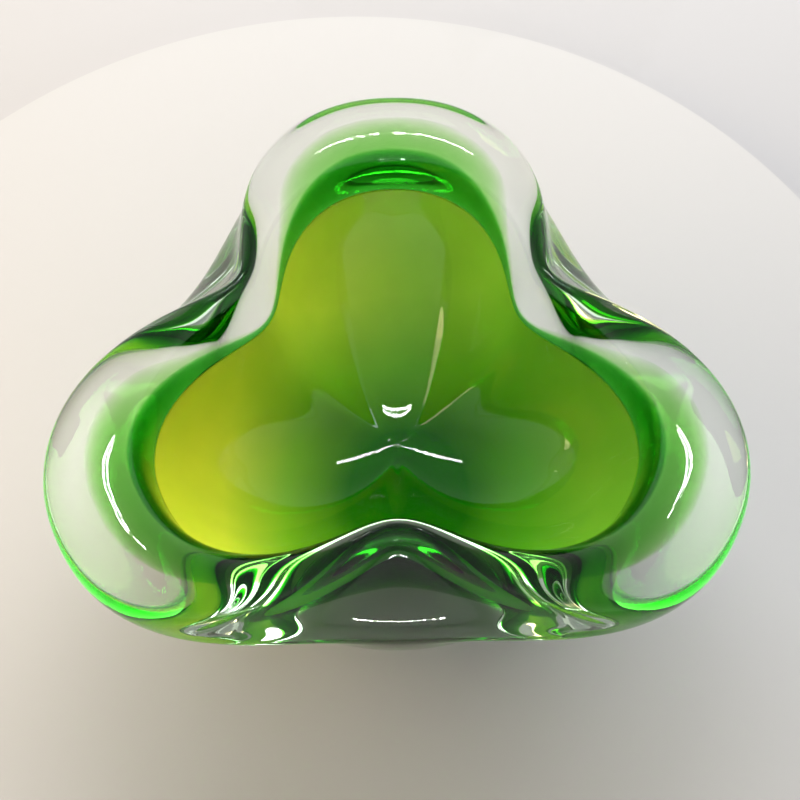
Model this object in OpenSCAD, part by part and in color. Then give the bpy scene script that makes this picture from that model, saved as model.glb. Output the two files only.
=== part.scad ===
// Trefoil art glass bowl.
// Three gathers of glass fused into one heavy wall: a lime lining, an emerald layer
// around it and a thick clear casing outside. The foot is ground flat, the belly is
// round, and above it the rim is pressed in at three places, so that three lobes
// flare out between them as broad, nearly flat flanges under a thick rounded lip.
// The emerald runs out into each flange as a thin wing just under its top.
//
// The origin is at the middle of the ground foot, +Z is up, and one lobe points to +Y.
// Every surface is a stack of three-lobed rings. A ring is given by its reach and its
// height at the lobes and at the dents between them, and a smooth spline follows the
// stack from the foot, over the lip and down to the middle of the cavity floor. The
// spline passes close by its control rings, not through them: with the values below,
// the lip ends about half a millimetre inside the reach and the height given for it.

/* [Rim] */
// Reach of the lip's control ring from the axis at a lobe, in mm
lobe_reach = 98; // [95:1:104]
// Reach of the lip's control ring from the axis at a dent, in mm
dent_reach = 53; // [52:0.5:56]
// Height of the rim's control ring at a lobe, in mm
lobe_h = 77; // [75:0.5:80]
// Height of the rim's control ring at a dent, in mm
dent_h = 79.5; // [77:0.5:83]
// How full and square the lobes are
lobe_fullness = 1.2; // [1.1:0.05:1.35]

/* [Body] */
// Radius of the flat ground foot, in mm
foot_r = 45; // [40:1:50]
// Radius of the round belly's control ring, in mm
belly_r = 68; // [67:0.5:72]
// Height of the belly's control ring, the widest round one, in mm
belly_z = 36; // [34:1:38]

/* [Cavity] */
// Reach of the cavity's edge from the axis at a lobe, in mm
mouth_lobe_r = 70; // [68:0.5:71]
// Reach of the cavity's edge from the axis at a dent, in mm
mouth_dent_r = 42; // [40:0.5:43]
// Height of the cavity's edge, in mm
mouth_z = 60; // [59:0.5:62]
// Height of the cavity floor above the table, in mm
floor_z = 22; // [20:1:24]

/* [Colour layers] */
// Thickness of the lime lining on the wall, in mm
lime_wall_t = 2; // [1.5:0.1:2.4]
// Thickness of the lime lining on the floor, in mm
lime_floor_t = 3; // [2:0.5:4]
// How far the emerald layer is set into the wall; behind the dents it is thicker, in mm
emerald_wall_t = 5; // [4.5:0.1:6]
// Thickness of the emerald layer under the middle of the floor, in mm
emerald_floor_t = 7; // [5:0.5:9]
// Reach of the control ring of the emerald layer's thin wing in a lobe, in mm
emerald_reach = 85; // [81:1:87]

/* [Hidden] */

around = 84; // points around a ring
skin_steps = 4; // rings in each span of the outer skin's spline
cavity_steps = 3; // rings in each span of the cavity's spline
layer_steps = 2; // rings in each span of a layer's spline
back_angle = 90; // direction of the lobe on +Y
grind = 3; // glass ground away under the foot
big = 400; // a block larger than the bowl

// Control rings of the outside, from under the foot, over the lip to the mouth:
// [reach at lobe, reach at dent, height at lobe, height at dent, softness, lean]
// The softness is small where the dents are tight folds. The lean is the angle at
// which the back of the wall faces down, and is used only inside the cavity.
outside = [
    [foot_r - 7, foot_r - 7, -grind, -grind, 1, 0],
    [foot_r + 9, foot_r + 9, 3, 3, 1, 0],
    [belly_r - 5, belly_r - 5, belly_z - 20, belly_z - 20, 1, 0],
    [belly_r, belly_r, belly_z, belly_z, 1, 0],
    [belly_r + 5, belly_r + 2, belly_z + 18, belly_z + 13, 0.9, 0],
    [lobe_reach - 4.5, belly_r + 3, lobe_h - 20, belly_z + 22.5, 0.9, 0],
    [lobe_reach, dent_reach + 1.5, lobe_h - 16, dent_h - 8, 0.9, 0],
    [lobe_reach - 0.5, dent_reach - 1, lobe_h - 2, dent_h - 2.5, 0.6, 0],
    [lobe_reach - 12, dent_reach - 4, lobe_h, dent_h, 0.8, 0],
    [mouth_lobe_r + 5, mouth_dent_r + 4.5, lobe_h - 1.5, dent_h - 1.5, 1, 0],
    [mouth_lobe_r + 1, mouth_dent_r + 1.5, lobe_h - 6, dent_h - 7.5, 1.3, 0],
    [mouth_lobe_r, mouth_dent_r, mouth_z, mouth_z, 1.6, 0]
];
mouth = len(outside) - 1;

// Control rings of the cavity, from the mouth down to the middle of the floor
cavity = [
    outside[mouth],
    [mouth_lobe_r - 6, mouth_dent_r - 3, mouth_z - 11, mouth_z - 11, 1.6, 12],
    [mouth_lobe_r - 15, mouth_dent_r - 9, floor_z + 17, floor_z + 19, 1.3, 30],
    [mouth_lobe_r - 28, mouth_dent_r - 16, floor_z + 8, floor_z + 11, 1.1, 48],
    [mouth_lobe_r - 42, mouth_dent_r - 26, floor_z + 2, floor_z + 4, 1.1, 65],
    [mouth_lobe_r - 57, mouth_dent_r - 35, floor_z, floor_z + 0.5, 1.3, 82],
    [0, 0, floor_z, floor_z, 1, 90]
];
middle = len(cavity) - 1;

// The thin edge of the emerald wing, high in the lobes and low in the dents
wing_edge = [emerald_reach, mouth_dent_r + 2, lobe_h - 2, mouth_z + 1.5, 0.9, 0];

// Control rings of the emerald's upper side, from its edge in to the mouth
wing_top = [
    wing_edge,
    [mouth_lobe_r + 5, mouth_dent_r + 1.4, lobe_h - 3.3, mouth_z + 1.7, 1, 0],
    [mouth_lobe_r + 1.7, mouth_dent_r + 0.6, lobe_h - 7, mouth_z + 1.3, 1.3, 0],
    outside[mouth]
];

// Control rings of the emerald's under side, from its edge down to the middle. It is
// rounder than the cavity, so it is thickest behind the dents.
wall_r = mouth_lobe_r - 19 + emerald_wall_t;
dent_wall_r = mouth_dent_r - 2 + emerald_wall_t;
under_z = floor_z - lime_floor_t - emerald_floor_t;
wing_under = [
    wing_edge,
    [emerald_reach - 2, mouth_dent_r + 2.5, lobe_h - 10, mouth_z - 2, 0.9, 0],
    [emerald_reach - 6, dent_wall_r, mouth_z - 1, mouth_z - 7, 1, 0],
    [wall_r + 14, dent_wall_r, mouth_z - 7, mouth_z - 13, 1.2, 0],
    [wall_r + 5.5, dent_wall_r, floor_z + 19, floor_z + 18, 1.3, 0],
    [wall_r - 5, dent_wall_r - 1.5, floor_z + 6, floor_z + 9, 1.1, 0],
    [wall_r - 19, dent_wall_r - 9, under_z + 5, under_z + 7, 1.1, 0],
    [wall_r - 39, dent_wall_r - 28, under_z, under_z, 1.3, 0],
    [0, 0, under_z, under_z, 1, 0]
];

// Share of the way from a dent (0) to the middle of a lobe (1) at an angle
function lobe_share(angle, softness) =
    let (
        c = abs(cos(1.5 * (angle - back_angle))),
        w = (sqrt(softness * softness + c * c) - softness)
            / (sqrt(softness * softness + 1) - softness)
    )
    1 - pow(1 - min(w, 1), lobe_fullness);

// Weights of a uniform cubic spline at u, from 0 to 1 along its span
function spline_weights(u) = [
    pow(1 - u, 3) / 6,
    (3 * pow(u, 3) - 6 * u * u + 4) / 6,
    (-3 * pow(u, 3) + 3 * u * u + 3 * u + 1) / 6,
    pow(u, 3) / 6
];

// Control ring number i, carried on in a straight line past both ends
function control(rings, i) =
    i < 0 ? 2 * rings[0] - rings[1]
    : i >= len(rings) ? 2 * rings[len(rings) - 1] - rings[len(rings) - 2]
    : rings[i];

// Ring on the spline at t, counted in spans from the first control ring
function spline_ring(rings, t) =
    let (
        i = min(floor(t + 0.0001), len(rings) - 2),
        w = spline_weights(t - i)
    )
    w[0] * control(rings, i - 1) + w[1] * control(rings, i)
    + w[2] * control(rings, i + 1) + w[3] * control(rings, i + 2);

// Rings of the whole spline, both ends included
function spline_run(rings, steps) = [
    for (k = [0 : (len(rings) - 1) * steps]) spline_ring(rings, k / steps)
];

// A control ring of the cavity moved into the wall, by one thickness where the wall
// is upright and by another where it is the floor
function moved_into_wall(ring, wall_t, floor_t) =
    let (
        lean = ring[5],
        floor_share = sin(lean) * sin(lean),
        t = wall_t + (floor_t - wall_t) * floor_share,
        out = t * cos(lean),
        down = t * sin(lean)
    )
    ring + [out, out, -down, -down, 0, 0];

// Control rings of the surface between the lime and the emerald, from the mouth down
// to the middle of the floor
lime_under = concat(
    [outside[mouth]],
    [for (i = [1 : middle]) moved_into_wall(cavity[i], lime_wall_t, lime_floor_t)]
);

// Corner points of one ring
function ring_points(ring) = [
    for (k = [0 : around - 1])
        let (
            angle = 360 * k / around,
            share = lobe_share(angle, ring[4]),
            reach = ring[1] + (ring[0] - ring[1]) * share,
            height = ring[3] + (ring[2] - ring[3]) * share
        )
        [reach * cos(angle), reach * sin(angle), height]
];

// Two triangles for each gap between neighbouring rings, then a fan at a closing point
function band_faces(rings) = [
    for (r = [0 : rings - 2], k = [0 : around - 1], half = [0, 1])
        let (
            a = r * around + k,
            b = r * around + (k + 1) % around
        )
        half == 0 ? [a, a + around, b] : [b, a + around, b + around]
];
function fan_faces(first, tip, reversed) = [
    for (k = [0 : around - 1])
        let (a = first + k, b = first + (k + 1) % around)
        reversed ? [a, b, tip] : [b, a, tip]
];

// Closed solid through a stack of rings, closed by one point at each end
module ring_solid(rings, start_tip, end_tip) {
    count = len(rings);
    points = concat(
        [for (ring = rings) each ring_points(ring)],
        [start_tip, end_tip]
    );
    tip = count * around;
    faces = concat(
        fan_faces(0, tip, true),
        band_faces(count),
        fan_faces(tip - around, tip + 1, false)
    );
    polyhedron(points = points, faces = faces);
}

function reversed_list(list) = [for (i = [len(list) - 1 : -1 : 0]) list[i]];

// A stack leaves out its last ring where a single point or another stack's ring
// takes its place, and both its end rings where it joins two other stacks
function without_last(list) = [for (i = [0 : len(list) - 2]) list[i]];
function without_ends(list) = [for (i = [1 : len(list) - 2]) list[i]];

lime_back = without_last(spline_run(lime_under, layer_steps));
lime_bottom = [0, 0, floor_z - lime_floor_t];
emerald_top = without_ends(spline_run(wing_top, layer_steps));
emerald_back = without_last(spline_run(wing_under, layer_steps));
emerald_bottom = [0, 0, under_z];

// Thick clear glass: foot, belly, lobes and lip, hollow where the colours lie
module clear_casing() {
    color([0.86, 0.93, 0.86, 0.45])
        difference() {
            ring_solid(
                concat(
                    spline_run(outside, skin_steps),
                    reversed_list(emerald_top),
                    emerald_back
                ),
                [0, 0, -grind],
                emerald_bottom
            );
            translate([-big / 2, -big / 2, -big])
                cube(big);
        }
}

// Emerald glass between the casing and the lining, with its wings in the lobes
module emerald_layer() {
    color([0.05, 0.5, 0.1, 0.6])
        ring_solid(
            concat(reversed_list(emerald_back), emerald_top, lime_back),
            emerald_bottom,
            lime_bottom
        );
}

// Lime glass that lines the cavity from the mouth to the floor
module lime_lining() {
    skin = without_ends(spline_run(cavity, cavity_steps));
    color([0.72, 0.85, 0.12, 0.7])
        ring_solid(
            concat(reversed_list(lime_back), skin),
            lime_bottom,
            [0, 0, floor_z]
        );
}

clear_casing();
emerald_layer();
lime_lining();
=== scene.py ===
"""Trefoil art glass bowl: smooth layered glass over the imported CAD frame."""

import math

import bpy
import numpy as np
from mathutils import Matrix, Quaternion, Vector


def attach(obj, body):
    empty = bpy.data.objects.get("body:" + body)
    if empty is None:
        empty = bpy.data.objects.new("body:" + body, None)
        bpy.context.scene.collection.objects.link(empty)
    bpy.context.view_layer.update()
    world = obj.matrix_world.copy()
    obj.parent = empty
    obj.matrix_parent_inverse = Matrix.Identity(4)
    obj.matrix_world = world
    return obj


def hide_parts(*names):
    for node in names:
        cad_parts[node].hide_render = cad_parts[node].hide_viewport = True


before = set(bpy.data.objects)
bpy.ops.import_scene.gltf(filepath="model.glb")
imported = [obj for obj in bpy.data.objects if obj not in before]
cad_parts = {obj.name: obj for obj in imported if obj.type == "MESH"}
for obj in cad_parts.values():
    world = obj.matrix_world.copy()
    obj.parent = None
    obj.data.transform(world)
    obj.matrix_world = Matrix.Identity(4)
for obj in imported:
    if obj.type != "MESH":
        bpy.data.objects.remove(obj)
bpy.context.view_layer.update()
scene = bpy.context.scene
MM = 0.001

# ---------------------------------------------------------------- the bowl's sizes, mm
LOBE_REACH, DENT_REACH = 98.0, 53.0  # of the lip's control ring, from the axis
LOBE_H, DENT_H = 77.0, 79.5  # of the rim's control ring, above the table
FULLNESS = 1.2  # how full and square the lobes are
BACK_ANGLE = math.pi / 2  # direction of the lobe on +Y
FOOT_R = 45.0
GRIND = 3.0  # glass ground away under the foot
BELLY_R, BELLY_Z = 68.0, 36.0
MOUTH_LOBE_R, MOUTH_DENT_R, MOUTH_Z = 70.0, 42.0, 60.0  # the cavity's edge
FLOOR_Z = 22.0  # the cavity's floor
LIME_WALL_T, LIME_FLOOR_T = 2.0, 3.0
EMERALD_WALL_T, EMERALD_FLOOR_T = 5.0, 7.0
EMERALD_REACH = 85.0  # of the emerald's thin wing in a lobe

GAP = 0.04  # between a dye body and the surface it would otherwise touch
RICH_DROP = 0.2  # of the rich band's first ring under the mouth's edge
AROUND = 240  # points around a ring
DENSE = 16  # rings in each span of a spline
FOOT_EDGE_Z = 0.02  # the outside's rings below this height are ground away
FOOT_SHARES = (0.5, 0.9, 0.985, 0.996)  # rings of the flat foot, as shares of its radius

# Control rings: reach at lobe, reach at dent, height at lobe, height at dent, softness
# of the dent, and lean of the wall's back (used inside the cavity only)
MOUTH = [MOUTH_LOBE_R, MOUTH_DENT_R, MOUTH_Z, MOUTH_Z, 1.6, 0]
OUTSIDE = np.array([
    [FOOT_R - 7, FOOT_R - 7, -GRIND, -GRIND, 1, 0],
    [FOOT_R + 9, FOOT_R + 9, 3, 3, 1, 0],
    [BELLY_R - 5, BELLY_R - 5, BELLY_Z - 20, BELLY_Z - 20, 1, 0],
    [BELLY_R, BELLY_R, BELLY_Z, BELLY_Z, 1, 0],
    [BELLY_R + 5, BELLY_R + 2, BELLY_Z + 18, BELLY_Z + 13, 0.9, 0],
    [LOBE_REACH - 4.5, BELLY_R + 3, LOBE_H - 20, BELLY_Z + 22.5, 0.9, 0],
    [LOBE_REACH, DENT_REACH + 1.5, LOBE_H - 16, DENT_H - 8, 0.9, 0],
    [LOBE_REACH - 0.5, DENT_REACH - 1, LOBE_H - 2, DENT_H - 2.5, 0.6, 0],
    [LOBE_REACH - 12, DENT_REACH - 4, LOBE_H, DENT_H, 0.8, 0],
    [MOUTH_LOBE_R + 5, MOUTH_DENT_R + 4.5, LOBE_H - 1.5, DENT_H - 1.5, 1, 0],
    [MOUTH_LOBE_R + 1, MOUTH_DENT_R + 1.5, LOBE_H - 6, DENT_H - 7.5, 1.3, 0],
    MOUTH,
])
CAVITY = np.array([
    MOUTH,
    [MOUTH_LOBE_R - 6, MOUTH_DENT_R - 3, MOUTH_Z - 11, MOUTH_Z - 11, 1.6, 12],
    [MOUTH_LOBE_R - 15, MOUTH_DENT_R - 9, FLOOR_Z + 17, FLOOR_Z + 19, 1.3, 30],
    [MOUTH_LOBE_R - 28, MOUTH_DENT_R - 16, FLOOR_Z + 8, FLOOR_Z + 11, 1.1, 48],
    [MOUTH_LOBE_R - 42, MOUTH_DENT_R - 26, FLOOR_Z + 2, FLOOR_Z + 4, 1.1, 65],
    [MOUTH_LOBE_R - 57, MOUTH_DENT_R - 35, FLOOR_Z, FLOOR_Z + 0.5, 1.3, 82],
    [0, 0, FLOOR_Z, FLOOR_Z, 1, 90],
])

# The emerald's upper side, from the wing's thin edge in to the mouth, and its rounder
# under side, from the same edge down to the middle
WING_EDGE = [EMERALD_REACH, MOUTH_DENT_R + 2, LOBE_H - 2, MOUTH_Z + 1.5, 0.9, 0]
WING_TOP = np.array([
    WING_EDGE,
    [MOUTH_LOBE_R + 5, MOUTH_DENT_R + 1.4, LOBE_H - 3.3, MOUTH_Z + 1.7, 1, 0],
    [MOUTH_LOBE_R + 1.7, MOUTH_DENT_R + 0.6, LOBE_H - 7, MOUTH_Z + 1.3, 1.3, 0],
    MOUTH,
])
WALL_R = MOUTH_LOBE_R - 19 + EMERALD_WALL_T
DENT_WALL_R = MOUTH_DENT_R - 2 + EMERALD_WALL_T
UNDER_Z = FLOOR_Z - LIME_FLOOR_T - EMERALD_FLOOR_T
WING_UNDER = np.array([
    WING_EDGE,
    [EMERALD_REACH - 2, MOUTH_DENT_R + 2.5, LOBE_H - 10, MOUTH_Z - 2, 0.9, 0],
    [EMERALD_REACH - 6, DENT_WALL_R, MOUTH_Z - 1, MOUTH_Z - 7, 1, 0],
    [WALL_R + 14, DENT_WALL_R, MOUTH_Z - 7, MOUTH_Z - 13, 1.2, 0],
    [WALL_R + 5.5, DENT_WALL_R, FLOOR_Z + 19, FLOOR_Z + 18, 1.3, 0],
    [WALL_R - 5, DENT_WALL_R - 1.5, FLOOR_Z + 6, FLOOR_Z + 9, 1.1, 0],
    [WALL_R - 19, DENT_WALL_R - 9, UNDER_Z + 5, UNDER_Z + 7, 1.1, 0],
    [WALL_R - 39, DENT_WALL_R - 28, UNDER_Z, UNDER_Z, 1.3, 0],
    [0, 0, UNDER_Z, UNDER_Z, 1, 0],
])

# The emerald is richest in a band beside the mouth. Its rings go out and up from the
# mouth, and then back under themselves.
RICH_TOP = np.array([
    MOUTH,
    [MOUTH_LOBE_R + 1.9, MOUTH_DENT_R + 0.6, MOUTH_Z + 9.5, MOUTH_Z + 1, 1.3, 0],
    [MOUTH_LOBE_R + 3.2, MOUTH_DENT_R + 1, MOUTH_Z + 11.8, MOUTH_Z + 1.2, 1.2, 0],
    [MOUTH_LOBE_R + 5, MOUTH_DENT_R + 1.3, MOUTH_Z + 12.8, MOUTH_Z + 1.3, 1.2, 0],
])
RICH_UNDER = np.array([
    RICH_TOP[-1],
    [MOUTH_LOBE_R + 5.2, MOUTH_DENT_R + 1.7, MOUTH_Z + 9, MOUTH_Z + 0.5, 1.2, 0],
    [MOUTH_LOBE_R + 3.5, MOUTH_DENT_R + 1.7, MOUTH_Z + 3, MOUTH_Z - 1.5, 1.3, 0],
    [MOUTH_LOBE_R + 0.4, MOUTH_DENT_R + 0.6, MOUTH_Z - 3.5, MOUTH_Z - 3, 1.6, 0],
    [MOUTH_LOBE_R + 0.3, MOUTH_DENT_R + 0.3, MOUTH_Z - 0.5, MOUTH_Z - 0.4, 1.6, 0],
])


# ---------------------------------------------------------------- rings and meshes
def spline(rings):
    """Rings of a uniform cubic spline that follows a stack of control rings.

    The stack is carried on in a straight line past both ends, so the spline starts at
    the first ring and ends at the last. It passes close by the others.
    """
    spans = len(rings) - 1
    t = np.linspace(0, spans, spans * DENSE + 1)
    ends = np.vstack([2 * rings[0] - rings[1], rings, 2 * rings[-1] - rings[-2]])
    i = np.clip(np.floor(t + 1e-6).astype(int), 0, spans - 1)
    u = (t - i)[:, None]
    return (
        (1 - u) ** 3 / 6 * ends[i]
        + (3 * u**3 - 6 * u**2 + 4) / 6 * ends[i + 1]
        + (-3 * u**3 + 3 * u**2 + 3 * u + 1) / 6 * ends[i + 2]
        + u**3 / 6 * ends[i + 3]
    )


def lobe_share(angle, softness):
    """Share of the way from a dent (0) to the middle of a lobe (1)."""
    c = np.abs(np.cos(1.5 * (angle - BACK_ANGLE)))
    w = (np.sqrt(softness**2 + c**2) - softness) / (np.sqrt(softness**2 + 1) - softness)
    return 1 - (1 - np.minimum(w, 1)) ** FULLNESS


def ring_points(rings):
    """Corner points of rings, as an array of ring, corner and coordinate."""
    angle = np.linspace(0, 2 * math.pi, AROUND, endpoint=False)
    out = []
    for reach_lobe, reach_dent, z_lobe, z_dent, softness, _ in rings:
        share = lobe_share(angle, softness)
        reach = reach_dent + (reach_lobe - reach_dent) * share
        height = z_dent + (z_lobe - z_dent) * share
        out.append(np.stack([reach * np.cos(angle), reach * np.sin(angle), height], -1))
    return np.array(out)


def behind_cavity(depth):
    """Control rings of the cavity moved into the glass, the mouth's ring excepted.

    A depth of the lime's wall or more takes in the lime's thicker floor as well.
    """
    floor_extra = LIME_FLOOR_T - LIME_WALL_T if depth >= LIME_WALL_T else 0.0
    rings = [OUTSIDE[-1]]
    for ring in CAVITY[1:]:
        lean = math.radians(ring[5])
        t = depth + floor_extra * math.sin(lean) ** 2
        out, down = t * math.cos(lean), t * math.sin(lean)
        rings.append(ring + np.array([out, out, -down, -down, 0, 0]))
    return np.array(rings)


def mesh_object(name, verts, faces):
    """A smooth mesh from corner points in mm and faces of corner numbers."""
    mesh = bpy.data.meshes.new(name)
    mesh.from_pydata((verts * MM).tolist(), [], [tuple(int(v) for v in f) for f in faces])
    mesh.validate()
    mesh.update()
    for polygon in mesh.polygons:
        polygon.use_smooth = True
    obj = bpy.data.objects.new(name, mesh)
    scene.collection.objects.link(obj)
    return obj


def band_faces(first, second):
    """Four-cornered faces between rings that start at these corner numbers."""
    k = np.arange(AROUND)
    k1 = (k + 1) % AROUND
    first, second = first[:, None], second[:, None]
    return np.stack([first + k, first + k1, second + k1, second + k], -1).reshape(-1, 4)


def closed_stack(name, rings, start, end):
    """A solid through rings, closed by one point at each end."""
    verts = np.vstack([rings.reshape(-1, 3), [start, end]])
    rows = np.arange(len(rings)) * AROUND
    k = np.arange(AROUND)
    k1 = (k + 1) % AROUND
    tip, last = len(verts) - 2, rows[-1]
    fan_start = np.stack([k1, k, np.full(AROUND, tip)], -1)
    fan_end = np.stack([last + k, last + k1, np.full(AROUND, tip + 1)], -1)
    faces = [*band_faces(rows[:-1], rows[1:]), *fan_start, *fan_end]
    return mesh_object(name, verts, faces)


def closed_tube(name, rings):
    """A solid through rings whose last ring joins the first."""
    rows = np.arange(len(rings)) * AROUND
    return mesh_object(name, rings.reshape(-1, 3), band_faces(rows, np.roll(rows, -1)))


def skin():
    """The glass surface of the whole bowl, with a foot ground flat at z = 0."""
    outside = ring_points(spline(OUTSIDE))
    outside = outside[outside[:, 0, 2] > FOOT_EDGE_Z]
    base = outside[0] * [1, 1, 0]
    foot = np.array([base * [share, share, 1] for share in FOOT_SHARES])
    cavity = ring_points(spline(CAVITY)[1:-1])
    rings = np.concatenate([foot, outside, cavity])
    return closed_stack("casing_glass", rings, [0, 0, 0], [0, 0, FLOOR_Z])


def lime():
    """The lime lining, from its back against the emerald to just behind the cavity."""
    back = ring_points(spline(behind_cavity(LIME_WALL_T))[:-1])
    front = ring_points(spline(behind_cavity(GAP))[1:-1])
    rings = np.concatenate([back[::-1], front])
    start, end = [0, 0, FLOOR_Z - LIME_FLOOR_T], [0, 0, FLOOR_Z - GAP]
    return closed_stack("lime_glass", rings, start, end)


def emerald():
    """The emerald layer: under side, wings in the lobes, and front behind the lime."""
    under = ring_points(spline(WING_UNDER)[:-1])
    top = ring_points(spline(WING_TOP)[1:-1])
    front = ring_points(spline(behind_cavity(LIME_WALL_T + GAP))[:-1])
    front[0, :, 2] -= GAP
    rings = np.concatenate([under[::-1], top, front])
    end = [0, 0, FLOOR_Z - LIME_FLOOR_T - GAP]
    return closed_stack("emerald_glass", rings, [0, 0, UNDER_Z], end)


def rich_band():
    """The richer band of emerald around the mouth, a closed tube of lobed section."""
    top = ring_points(spline(RICH_TOP))
    under = ring_points(spline(RICH_UNDER)[1:])
    top[0, :, 2] -= RICH_DROP
    return closed_tube("emerald_edge_glass", np.concatenate([top, under])[::-1])


# ---------------------------------------------------------------- materials
# Colour that each glass lets through, and the density of its absorption per metre
CLEAR_TINT = ((0.80, 0.90, 0.78), 8.0)
EMERALD_TINT = ((0.36, 0.80, 0.08), 200.0)
RICH_TINT = ((0.0, 0.70, 0.0), 1200.0)
LIME_TINT = ((0.90, 0.96, 0.2), 100.0)

# Colours of the lime from the left (0) to the right (1), with painted light in them: warm-lit
# yellow at the left, painted shade greener and darker at the right
LIME_HUES_PAINTED_LIGHT = [
    (0.0, (1.0, 0.94, 0.06)),
    (0.25, (0.90, 0.95, 0.08)),
    (0.5, (0.62, 0.90, 0.10)),
    (0.75, (0.36, 0.74, 0.06)),
    (1.0, (0.22, 0.55, 0.04)),
]
# Width and slant of the painted side light across the lime
PAINTED_LIGHT_SPAN, PAINTED_LIGHT_SLANT = 0.072, -0.10  # half the width in m, and the share of y in it
# Painted shade on the lime: how it darkens from the edge (1) to the middle of the cavity (0)
LIME_PAINTED_SHADE = [
    (0.0, (0.01, 0.20, 0.01)),
    (0.30, (0.03, 0.28, 0.01)),
    (0.60, (0.40, 0.72, 0.30)),
    (0.88, (1, 1, 1)),
]
# Place, reach and stretch of the painted shade in the cavity's middle
SHADE_MIDDLE_X, SHADE_MIDDLE_Y, SHADE_REACH = 0.003, -0.018, 0.060  # the dark middle's place and reach, m
SHADE_STRETCH = 0.8  # below 1 the dark middle is longer along y
WHITE_END = (1, 1, 1)  # leaves the colour under it as it is
MILKY = 0.95  # share of the light that the lime scatters
BACKLIT = 0.25  # share of the scattered light that goes on through
GLASS_IOR = 1.5
WORN_ROUGHNESS = 0.05  # where the surface is worn most


class Nodes:
    """Short ways to add shader nodes to one material, lamp or world."""

    def __init__(self, owner):
        owner.use_nodes = True
        self.tree = owner.node_tree

    def add(self, kind, **inputs):
        node = self.tree.nodes.new(kind)
        for name, value in inputs.items():
            self.put(node.inputs[name.replace("_", " ")], value)
        return node

    def put(self, socket, value):
        if isinstance(value, bpy.types.NodeSocket):
            self.tree.links.new(value, socket)
        elif isinstance(value, tuple) and len(value) == 3 and socket.type == "RGBA":
            socket.default_value = (*value, 1)
        else:
            socket.default_value = value

    def math(self, operation, a, b=0.0):
        node = self.tree.nodes.new("ShaderNodeMath")
        node.operation = operation
        self.put(node.inputs[0], a)
        self.put(node.inputs[1], b)
        return node.outputs[0]

    def span(self, value, low, high):
        """A value from low to high, as 0 to 1."""
        node = self.add("ShaderNodeMapRange", Value=value, From_Min=low, From_Max=high)
        return node.outputs[0]

    def ramp(self, value, stops):
        node = self.add("ShaderNodeValToRGB", Fac=value)
        elements = node.color_ramp.elements
        while len(elements) < len(stops):
            elements.new(0.5)
        for element, (place, colour) in zip(elements, stops):
            element.position = place
            element.color = (*colour, 1)
        return node.outputs["Color"]

    def noise(self, place, scale, detail=2.0, rough=0.5):
        node = self.add("ShaderNodeTexNoise", Vector=place, Scale=scale)
        self.put(node.inputs["Detail"], detail)
        self.put(node.inputs["Roughness"], rough)
        return node.outputs["Fac"]

    def bump(self, height, strength, distance):
        node = self.add("ShaderNodeBump", Height=height, Strength=strength, Distance=distance)
        return node.outputs["Normal"]

    def axes(self, place):
        return self.add("ShaderNodeSeparateXYZ", Vector=place).outputs

    def times(self, a, b):
        """Two colours multiplied."""
        node = self.tree.nodes.new("ShaderNodeMix")
        node.data_type = "RGBA"
        node.blend_type = "MULTIPLY"
        node.inputs["Factor"].default_value = 1
        self.put(node.inputs["A"], a)
        self.put(node.inputs["B"], b)
        return node.outputs["Result"]

    def mix(self, share, a, b):
        """Two shaders mixed, with this share of the second."""
        node = self.tree.nodes.new("ShaderNodeMixShader")
        node.inputs[0].default_value = share
        self.put(node.inputs[1], a)
        self.put(node.inputs[2], b)
        return node.outputs[0]

    def place(self):
        return self.tree.nodes.new("ShaderNodeTexCoord").outputs["Object"]

    def surface(self, value):
        self.put(self.tree.nodes["Material Output"].inputs["Surface"], value)

    def absorb(self, colour, density):
        """The material's inside lets this colour through and takes up the rest."""
        node = self.add("ShaderNodeVolumeAbsorption", Color=colour, Density=density)
        self.put(self.tree.nodes["Material Output"].inputs["Volume"], node.outputs[0])


def clear_material():
    """Clear glass, a little wavy as hand-shaped glass is, with faint wear."""
    material = bpy.data.materials.new("clear_glass")
    n = Nodes(material)
    glass = material.node_tree.nodes["Principled BSDF"]
    glass.inputs["Base Color"].default_value = (1, 1, 1, 1)
    glass.inputs["Transmission Weight"].default_value = 1
    glass.inputs["IOR"].default_value = GLASS_IOR
    place = n.place()
    waves = n.noise(place, scale=28.0, detail=1.0)
    wear = n.span(n.noise(place, scale=900.0, detail=3.0, rough=0.6), 0.62, 0.75)
    n.put(glass.inputs["Roughness"], n.math("MULTIPLY", wear, WORN_ROUGHNESS))
    n.put(glass.inputs["Normal"], n.bump(waves, strength=0.5, distance=0.0006))
    n.absorb(*CLEAR_TINT)
    return material


def dye_material(name, tint):
    """Colour inside the glass: light passes straight through and is absorbed."""
    material = bpy.data.materials.new(name)
    n = Nodes(material)
    material.node_tree.nodes.remove(material.node_tree.nodes["Principled BSDF"])
    streaks = n.span(n.noise(n.place(), scale=90.0, detail=3.0, rough=0.6), 0.3, 0.7)
    film = n.ramp(streaks, [(0.0, (0.93, 0.99, 0.91)), (1.0, WHITE_END)])
    n.surface(n.add("ShaderNodeBsdfTransparent", Color=film).outputs[0])
    n.absorb(*tint)
    return material


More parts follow.
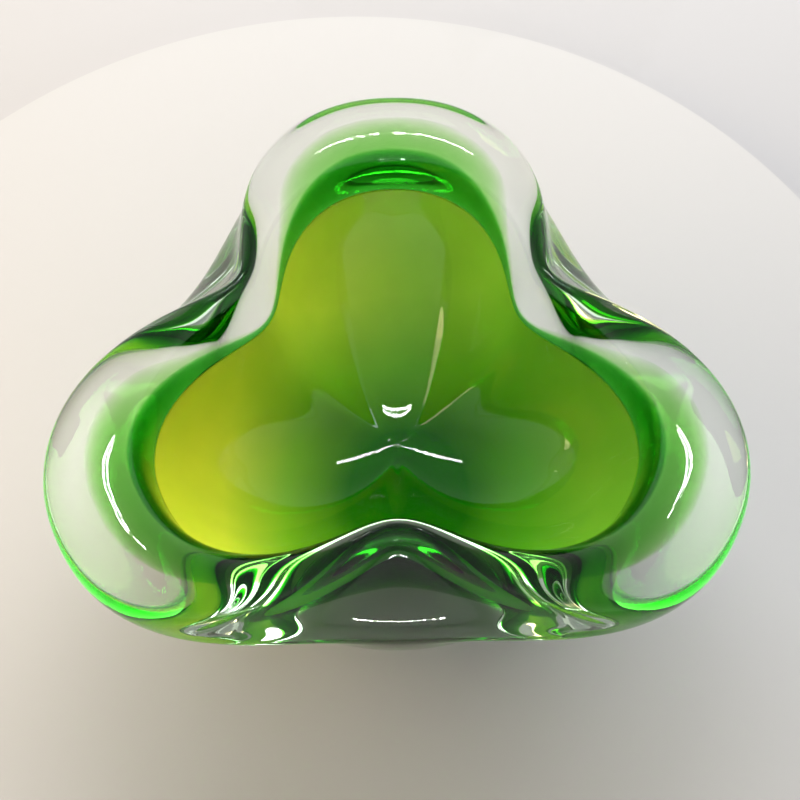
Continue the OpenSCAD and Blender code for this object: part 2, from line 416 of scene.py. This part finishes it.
def lime_colour_and_painted_light(n, place):
    """The lime's colour with painted light and shade: warm-lit yellow at the left, painted
    shade greener and darker at the right and darkest in the middle of the cavity; a little
    cloudy.
    """
    axes = n.axes(place)
    # Painted side light: warm yellow at the left, painted shade greener and darker towards
    # the right
    side = n.math("ADD", axes["X"], n.math("MULTIPLY", axes["Y"], PAINTED_LIGHT_SLANT))
    lit_hue = n.ramp(n.span(side, -PAINTED_LIGHT_SPAN, PAINTED_LIGHT_SPAN), LIME_HUES_PAINTED_LIGHT)
    # Painted shade: the lime darkens towards the middle of the cavity, where less light
    # reaches
    x = n.math("SUBTRACT", axes["X"], SHADE_MIDDLE_X)
    y = n.math("MULTIPLY", n.math("SUBTRACT", axes["Y"], SHADE_MIDDLE_Y), SHADE_STRETCH)
    squares = n.math("ADD", n.math("MULTIPLY", x, x), n.math("MULTIPLY", y, y))
    painted_shade = n.ramp(n.span(n.math("SQRT", squares), 0.0, SHADE_REACH), LIME_PAINTED_SHADE)
    cloud = n.noise(place, scale=60.0, detail=4.0, rough=0.55)
    haze = n.ramp(cloud, [(0.3, (0.90, 0.94, 0.85)), (0.7, WHITE_END)])
    return n.times(n.times(lit_hue, painted_shade), haze)


def lime_material():
    """Milky lime glass, which scatters most of the light and lets the rest through."""
    material = bpy.data.materials.new("lime_glass")
    n = Nodes(material)
    material.node_tree.nodes.remove(material.node_tree.nodes["Principled BSDF"])
    place = n.place()
    # This colour has painted light and shade in it: yellow at the warm-lit left, darker at
    # the right and in the cavity's middle
    colour = lime_colour_and_painted_light(n, place)
    ripple = n.bump(n.noise(place, scale=45.0), strength=0.3, distance=0.001)
    front = n.add("ShaderNodeBsdfDiffuse", Color=colour, Roughness=0.2, Normal=ripple)
    through = n.add("ShaderNodeBsdfTranslucent", Color=colour)
    clear = n.add("ShaderNodeBsdfTransparent")
    milk = n.mix(BACKLIT, front.outputs[0], through.outputs[0])
    n.surface(n.mix(MILKY, clear.outputs[0], milk))
    n.absorb(*LIME_TINT)
    return material


# ---------------------------------------------------------------- the bowl
emerald_dye = dye_material("emerald_glass", EMERALD_TINT)
rich_dye = dye_material("emerald_edge_glass", RICH_TINT)
for piece, node, slot, material in (
    (skin(), "clear_casing", "clear_glass", clear_material()),
    (emerald(), "emerald_layer", "emerald_glass", emerald_dye),
    (rich_band(), "emerald_layer", "emerald_glass", rich_dye),
    (lime(), "lime_lining", "lime_glass", lime_material()),
):
    piece.data.materials.append(material)
    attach(piece, "root")
    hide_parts(node)


# ---------------------------------------------------------------- stage and light
DISC_CORNERS = 256
DIODE_R = 0.3  # as a share of the space between diodes
DIODE_STRENGTH, GROUND_STRENGTH = 3.5, 0.02
LOW_SKY, HIGH_SKY = (0.74, 0.73, 0.71), (0.32, 0.325, 0.33)
WARM, GLOW = (1.0, 0.76, 0.44), (1.0, 0.68, 0.30)
COOL, WHITE = (0.97, 0.98, 1.0), (1.0, 0.99, 0.97)


def disc(name, radius, centre, colour):
    """A round, flat, plain pale piece of the stage. Radius and centre are in metres."""
    angle = np.linspace(0, 2 * math.pi, DISC_CORNERS, endpoint=False)
    flat = np.stack([radius * np.cos(angle), radius * np.sin(angle), 0 * angle], -1)
    obj = mesh_object(name, (flat + centre) / MM, [range(DISC_CORNERS)])
    material = bpy.data.materials.new(name)
    material.use_nodes = True
    matt = material.node_tree.nodes["Principled BSDF"]
    matt.inputs["Base Color"].default_value = (*colour, 1)
    matt.inputs["Roughness"].default_value = 0.5
    matt.inputs["Specular IOR Level"].default_value = 0.2
    obj.data.materials.append(material)


def studio_world():
    """A soft even surround, brighter low down than overhead."""
    world = bpy.data.worlds.new("studio")
    scene.world = world
    n = Nodes(world)
    direction = world.node_tree.nodes.new("ShaderNodeTexCoord").outputs["Generated"]
    sky = n.ramp(n.axes(direction)["Z"], [(0.25, LOW_SKY), (0.75, HIGH_SKY)])
    n.put(world.node_tree.nodes["Background"].inputs["Color"], sky)


def diodes(light, counts):
    """Makes a lamp shine from rows of small round diodes on a dim ground."""
    n = Nodes(light)
    where = light.node_tree.nodes.new("ShaderNodeNewGeometry").outputs["Parametric"]
    across = n.axes(where)
    squares = []
    for axis, count in zip("XY", counts):
        cell = n.math("FRACT", n.math("MULTIPLY", across[axis], count))
        off = n.math("SUBTRACT", cell, 0.5)
        squares.append(n.math("MULTIPLY", off, off))
    lit = n.math("LESS_THAN", n.math("ADD", *squares), DIODE_R**2)
    strength = n.math("ADD", n.math("MULTIPLY", lit, DIODE_STRENGTH), GROUND_STRENGTH)
    emission = next(node for node in light.node_tree.nodes if node.type == "EMISSION")
    n.put(emission.inputs["Strength"], strength)


def area(name, place, target, size, power, colour, dots=None):
    """A flat lamp. Only a lamp with rows of dots is seen mirrored in the glass."""
    light = bpy.data.lights.new(name, "AREA")
    light.shape = "RECTANGLE"
    light.size, light.size_y = size
    light.energy = power
    light.color = colour
    lamp = bpy.data.objects.new(name, light)
    lamp.location = place
    aim = Vector(target) - Vector(place)
    lamp.rotation_euler = aim.to_track_quat("-Z", "Y").to_euler()
    scene.collection.objects.link(lamp)
    if dots is None:
        lamp.visible_glossy = False
    else:
        diodes(light, dots)


disc("turntable", 0.2, (-0.019, 0.017, -0.0003), (0.345, 0.34, 0.335))
disc("backdrop", 3.0, (0, 0, -0.03), (0.315, 0.31, 0.31))
studio_world()
# Each lamp: place and target, size in metres, power in watts, colour
area("warm_lamp", (-0.75, 0.1, 0.32), (0, 0, 0.04), (0.9, 0.6), 8.5, WARM)
area("soft_box", (0.12, 0.75, 0.62), (0, 0, 0.04), (1.4, 0.9), 25, COOL)
area("warm_glow", (-0.27, -0.04, 0.10), (-0.1, -0.02, 0), (0.12, 0.08), 0.10, GLOW)
area("front_fill", (0.05, -0.8, 0.6), (0, 0, 0.05), (1.4, 0.9), 3.5, COOL)
area("ceiling_panel", (-0.01, 0.2, 0.5), (-0.01, 0.2, 0), (0.24, 0.03), 0.6, WHITE, (18, 2))
area("front_strip", (0, -0.6, 0.12), (0, 0, 0.07), (0.2, 0.014), 0.5, WHITE, (13, 1))

# ---------------------------------------------------------------- camera
ELEVATION, AZIMUTH, ROLL = math.radians(61.8), math.radians(-0.27), math.radians(0.7)
DISTANCE, TARGET = 0.2862, Vector((0.0011, 0, 0.0514))

cam = bpy.data.cameras.new("camera")
cam.sensor_width = 36
cam.lens = 45
cam.clip_start = 0.01
camera = bpy.data.objects.new("camera", cam)
scene.collection.objects.link(camera)
level = math.cos(ELEVATION)
back = Vector((math.sin(AZIMUTH) * level, -math.cos(AZIMUTH) * level, math.sin(ELEVATION)))
camera.location = TARGET + back * DISTANCE
camera.rotation_mode = "QUATERNION"
facing = (-back).to_track_quat("-Z", "Y")
camera.rotation_quaternion = facing @ Quaternion((0, 0, 1), -ROLL)
scene.camera = camera

# Light crosses the layers many times before it leaves the glass
scene.cycles.max_bounces = 48
scene.cycles.transmission_bounces = 40
scene.cycles.glossy_bounces = 24
scene.cycles.diffuse_bounces = 6
scene.cycles.transparent_max_bounces = 64
scene.view_settings.view_transform = "Standard"
